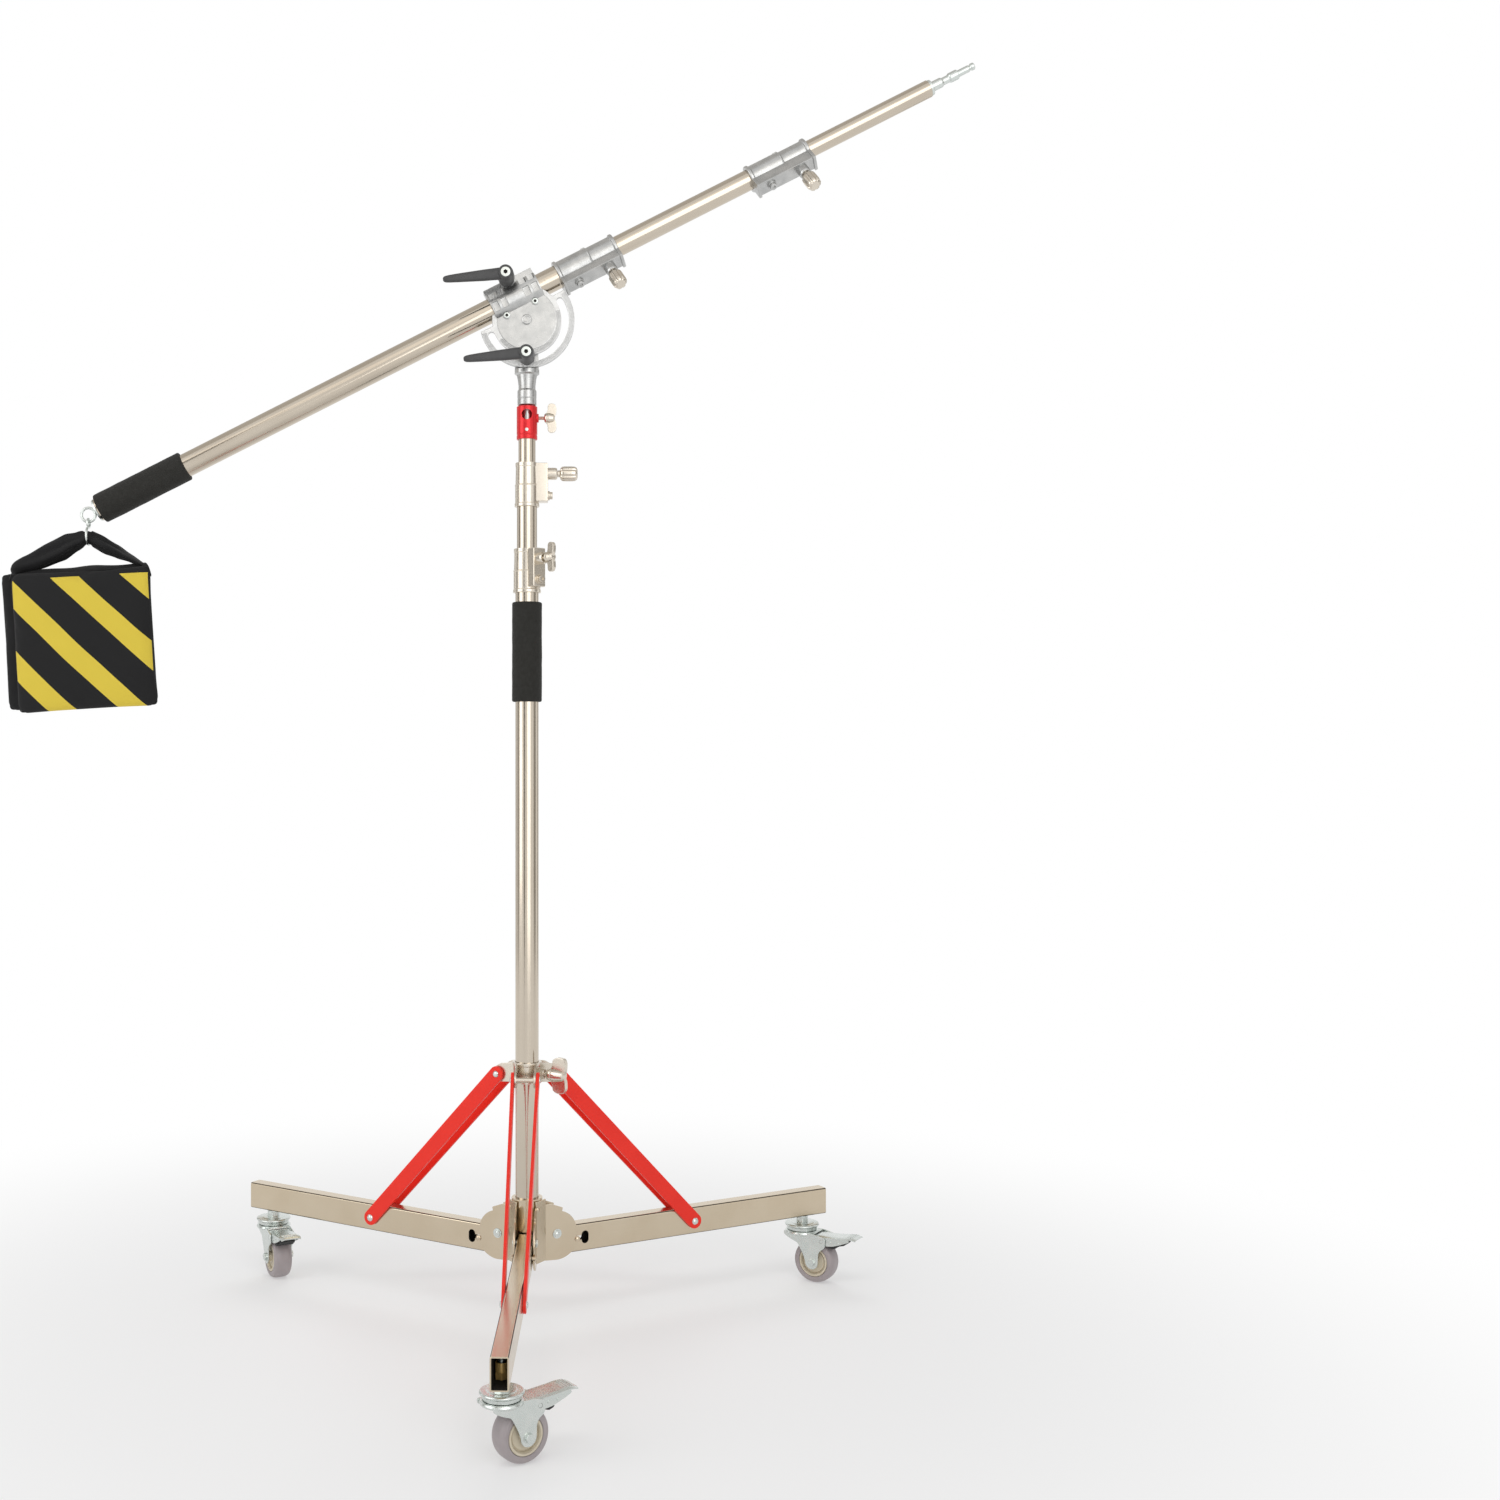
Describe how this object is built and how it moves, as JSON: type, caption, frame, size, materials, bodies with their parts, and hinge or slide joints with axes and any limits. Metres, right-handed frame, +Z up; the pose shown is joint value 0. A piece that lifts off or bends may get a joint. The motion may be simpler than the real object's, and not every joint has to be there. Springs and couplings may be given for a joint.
{
  "type": "boom stand",
  "caption": "Wheeled tripod stand with telescoping column, tilting boom arm on a slotted quadrant head, and a saddle sandbag hung from the boom's tail.",
  "frame": {"origin": "middle of the footprint on the floor", "axes": "+Z up, +X along the boom towards its stud end, -Y towards the side with the quadrant and the levers"},
  "size_m": [1.5854, 0.9088, 2.0459],
  "materials": {
    "steel": "polished stainless steel with a warm cast",
    "zinc": "bright zinc plate",
    "casting": "satin casting",
    "red_paint": "gloss red paint",
    "foam": "matt black foam",
    "black_plastic": "satin black",
    "tyre": "grey soft tread",
    "wheel_core": "cream plastic",
    "bag_cloth": "black woven cloth with yellow diagonal stripes"
  },
  "bodies": {
    "stand": {"leg_hub": "steel", "column_tube_1": "steel", "column_grip": "foam", "column_clamp_1": "steel"},
    "front_leg": {"leg_front": "steel", "leg_bolt_front": "zinc", "caster_stem_front": "zinc"},
    "left_leg": {"leg_left": "steel", "leg_bolt_left": "zinc", "caster_stem_left": "zinc"},
    "right_leg": {"leg_right": "steel", "leg_bolt_right": "zinc", "caster_stem_right": "zinc"},
    "front_pin": {"lock_pin_front": "zinc"},
    "left_pin": {"lock_pin_left": "zinc"},
    "right_pin": {"lock_pin_right": "zinc"},
    "front_strut": {"strut_front": "red_paint"},
    "left_strut": {"strut_left": "red_paint"},
    "right_strut": {"strut_right": "red_paint"},
    "collar": {"slide_collar": "steel"},
    "collar_screw": {"collar_knob": "steel"},
    "front_fork": {"caster_fork_front": "zinc"},
    "left_fork": {"caster_fork_left": "zinc"},
    "right_fork": {"caster_fork_right": "zinc"},
    "front_wheel": {"caster_tyre_front": "tyre", "caster_core_front": "wheel_core"},
    "left_wheel": {"caster_tyre_left": "tyre", "caster_core_left": "wheel_core"},
    "right_wheel": {"caster_tyre_right": "tyre", "caster_core_right": "wheel_core"},
    "front_brake": {"brake_pedal_front": "zinc"},
    "left_brake": {"brake_pedal_left": "zinc"},
    "right_brake": {"brake_pedal_right": "zinc"},
    "riser_1": {"column_tube_2": "steel", "column_clamp_2": "steel"},
    "riser_2": {"column_tube_3": "steel", "stud_socket": "red_paint"},
    "column_screw_1": {"column_knob_1": "steel"},
    "column_screw_2": {"column_knob_2": "steel"},
    "socket_screw": {"socket_knob": "steel"},
    "head": {"head_yoke": "casting", "tilt_bolt": "zinc"},
    "head_lever": {"tilt_lever": "black_plastic"},
    "boom_head": {"quadrant_plate": "casting", "boom_jaw": "casting", "pivot_bolt": "zinc", "jaw_bolt": "zinc"},
    "boom_lever": {"jaw_lever": "black_plastic"},
    "boom": {"boom_tube_1": "steel", "boom_clamp_1": "casting", "boom_grip": "foam", "eye_bolt": "zinc"},
    "boom_screw_1": {"boom_knob_1": "zinc"},
    "boom_riser_1": {"boom_tube_2": "steel", "boom_clamp_2": "casting"},
    "boom_screw_2": {"boom_knob_2": "zinc"},
    "boom_riser_2": {"boom_tube_3": "steel", "boom_stud": "zinc"},
    "hook": {"s_hook": "zinc"},
    "bag": {"sandbag": "bag_cloth"}
  },
  "joints": [
    {"name": "front_fold", "type": "hinge", "parent": "stand", "child": "front_leg", "pos_m": [0.0649, 0.08564, 0.1481], "axis": [-0.9993, 0.0384, 0], "range_deg": [0, 90]},
    {"name": "left_fold", "type": "hinge", "parent": "stand", "child": "left_leg", "pos_m": [0.02774, 0.15611, 0.1481], "axis": [0.5329, 0.8462, 0], "range_deg": [0, 90]},
    {"name": "right_fold", "type": "hinge", "parent": "stand", "child": "right_leg", "pos_m": [0.10735, 0.15306, 0.1481], "axis": [0.4664, -0.8846, 0], "range_deg": [0, 90]},
    {"name": "front_pin_pull", "type": "slide", "parent": "front_leg", "child": "front_pin", "axis": [-0.0384, -0.9993, 0], "range_m": [0, 0.02], "stiffness_N_per_m": 300, "springref_m": -0.004},
    {"name": "left_pin_pull", "type": "slide", "parent": "left_leg", "child": "left_pin", "axis": [-0.8462, 0.5329, 0], "range_m": [0, 0.02], "stiffness_N_per_m": 300, "springref_m": -0.004},
    {"name": "right_pin_pull", "type": "slide", "parent": "right_leg", "child": "right_pin", "axis": [0.8846, 0.4664, 0], "range_m": [0, 0.02], "stiffness_N_per_m": 300, "springref_m": -0.004},
    {"name": "front_strut_turn", "type": "hinge", "parent": "front_leg", "child": "front_strut", "pos_m": [0.05478, -0.17767, 0.1346], "axis": [-0.9993, 0.0384, 0], "range_deg": [-132.1, 0]},
    {"name": "left_strut_turn", "type": "hinge", "parent": "left_leg", "child": "left_strut", "pos_m": [-0.19523, 0.29653, 0.1346], "axis": [0.5329, 0.8462, 0], "range_deg": [-132.1, 0]},
    {"name": "right_strut_turn", "type": "hinge", "parent": "right_leg", "child": "right_strut", "pos_m": [0.34044, 0.27595, 0.1346], "axis": [0.4664, -0.8846, 0], "range_deg": [-132.1, 0]},
    {"name": "collar_slide", "type": "slide", "parent": "stand", "child": "collar", "axis": [0, 0, 1], "range_m": [0, 0.3834]},
    {"name": "collar_screw_turn", "type": "hinge", "parent": "collar", "child": "collar_screw", "pos_m": [0.06666, 0.1316, 0.41201], "axis": [0.8462, -0.5329, 0], "range_deg": [0, 180]},
    {"name": "front_swivel", "type": "hinge", "parent": "front_leg", "child": "front_fork", "pos_m": [0.04582, -0.411, 0.0881], "axis": [0, 0, 1], "continuous": true},
    {"name": "left_swivel", "type": "hinge", "parent": "left_leg", "child": "left_fork", "pos_m": [-0.39282, 0.42095, 0.0881], "axis": [0, 0, 1], "continuous": true},
    {"name": "right_swivel", "type": "hinge", "parent": "right_leg", "child": "right_fork", "pos_m": [0.54699, 0.38485, 0.0881], "axis": [0, 0, 1], "continuous": true},
    {"name": "front_roll", "type": "hinge", "parent": "front_fork", "child": "front_wheel", "pos_m": [0.0693, -0.39575, 0.0375], "axis": [-0.5446, 0.8387, 0], "continuous": true},
    {"name": "left_roll", "type": "hinge", "parent": "left_fork", "child": "left_wheel", "pos_m": [-0.38054, 0.39579, 0.0375], "axis": [0.8988, 0.4384, 0], "continuous": true},
    {"name": "right_roll", "type": "hinge", "parent": "right_fork", "child": "right_wheel", "pos_m": [0.57047, 0.3696, 0.0375], "axis": [0.5446, 0.8387, 0], "continuous": true},
    {"name": "front_brake_press", "type": "hinge", "parent": "front_fork", "child": "front_brake", "pos_m": [0.0844, -0.38594, 0.076], "axis": [-0.5446, 0.8387, 0], "range_deg": [0, 10]},
    {"name": "left_brake_press", "type": "hinge", "parent": "left_fork", "child": "left_brake", "pos_m": [-0.37265, 0.37961, 0.076], "axis": [0.8988, 0.4384, 0], "range_deg": [0, 10]},
    {"name": "right_brake_press", "type": "hinge", "parent": "right_fork", "child": "right_brake", "pos_m": [0.58557, 0.3598, 0.076], "axis": [0.5446, 0.8387, 0], "range_deg": [0, 10]},
    {"name": "column_rise_1", "type": "slide", "parent": "stand", "child": "riser_1", "axis": [0, 0, 1], "range_m": [-0.065, 0.78]},
    {"name": "column_screw_turn_1", "type": "hinge", "parent": "stand", "child": "column_screw_1", "pos_m": [0.06666, 0.1316, 1.2402], "axis": [0.6157, -0.788, 0], "range_deg": [0, 180]},
    {"name": "column_rise_2", "type": "slide", "parent": "riser_1", "child": "riser_2", "axis": [0, 0, 1], "range_m": [-0.036, 0.78]},
    {"name": "column_screw_turn_2", "type": "hinge", "parent": "riser_1", "child": "column_screw_2", "pos_m": [0.06666, 0.1316, 1.3802], "axis": [1, 0, 0], "range_deg": [0, 180]},
    {"name": "socket_screw_turn", "type": "hinge", "parent": "riser_2", "child": "socket_screw", "pos_m": [0.06666, 0.1316, 1.4702], "axis": [1, 0, 0], "range_deg": [0, 180]},
    {"name": "head_swivel", "type": "hinge", "parent": "riser_2", "child": "head", "pos_m": [0.06666, 0.1316, 1.4882], "axis": [0, 0, 1], "continuous": true},
    {"name": "tilt_lever_turn", "type": "hinge", "parent": "head", "child": "head_lever", "pos_m": [0.06666, 0.1153, 1.56395], "axis": [0, -1, 0], "range_deg": [0, 90]},
    {"name": "boom_tilt", "type": "hinge", "parent": "head", "child": "boom_head", "pos_m": [0.06666, 0.1316, 1.6257], "axis": [0, -1, 0], "range_deg": [-40, 48.1]},
    {"name": "jaw_lever_turn", "type": "hinge", "parent": "boom_head", "child": "boom_lever", "pos_m": [0.03409, 0.1143, 1.68991], "axis": [0, -1, 0], "range_deg": [0, 90]},
    {"name": "boom_slide", "type": "slide", "parent": "boom_head", "child": "boom", "axis": [0.8918, 0, 0.4524], "range_m": [0, 0.28]},
    {"name": "boom_screw_turn_1", "type": "hinge", "parent": "boom", "child": "boom_screw_1", "pos_m": [0.18722, 0.1316, 1.73508], "axis": [0.3751, -0.5592, -0.7393], "range_deg": [0, 180]},
    {"name": "boom_extend_1", "type": "slide", "parent": "boom", "child": "boom_riser_1", "axis": [0.8918, 0, 0.4524], "range_m": [-0.2385, 0.37]},
    {"name": "boom_screw_turn_2", "type": "hinge", "parent": "boom_riser_1", "child": "boom_screw_2", "pos_m": [0.49667, 0.1316, 1.89207], "axis": [0.3751, -0.5592, -0.7393], "range_deg": [0, 180]},
    {"name": "boom_extend_2", "type": "slide", "parent": "boom_riser_1", "child": "boom_riser_2", "axis": [0.8918, 0, 0.4524], "range_m": [-0.2175, 0.37]},
    {"name": "hook_hang", "type": "hinge", "parent": "boom", "child": "hook", "pos_m": [-0.64349, 0.1316, 1.31364], "axis": [0, -1, 0], "range_deg": [-48.2, 40.1]},
    {"name": "bag_swing", "type": "hinge", "parent": "hook", "child": "bag", "pos_m": [-0.64349, 0.1316, 1.27949], "axis": [1, 0, 0], "range_deg": [-25, 25]}
  ],
  "couplings": [
    {"joint": "left_fold", "follows": "front_fold", "ratio": 1},
    {"joint": "right_fold", "follows": "front_fold", "ratio": 1},
    {"joint": "front_strut_turn", "follows": "front_fold", "ratio": -1.4667},
    {"joint": "left_strut_turn", "follows": "front_fold", "ratio": -1.4667},
    {"joint": "right_strut_turn", "follows": "front_fold", "ratio": -1.4667},
    {"joint": "collar_slide", "follows": "front_fold", "m_per_rad": 0.24405},
    {"joint": "hook_hang", "follows": "boom_tilt", "ratio": -1}
  ]
}
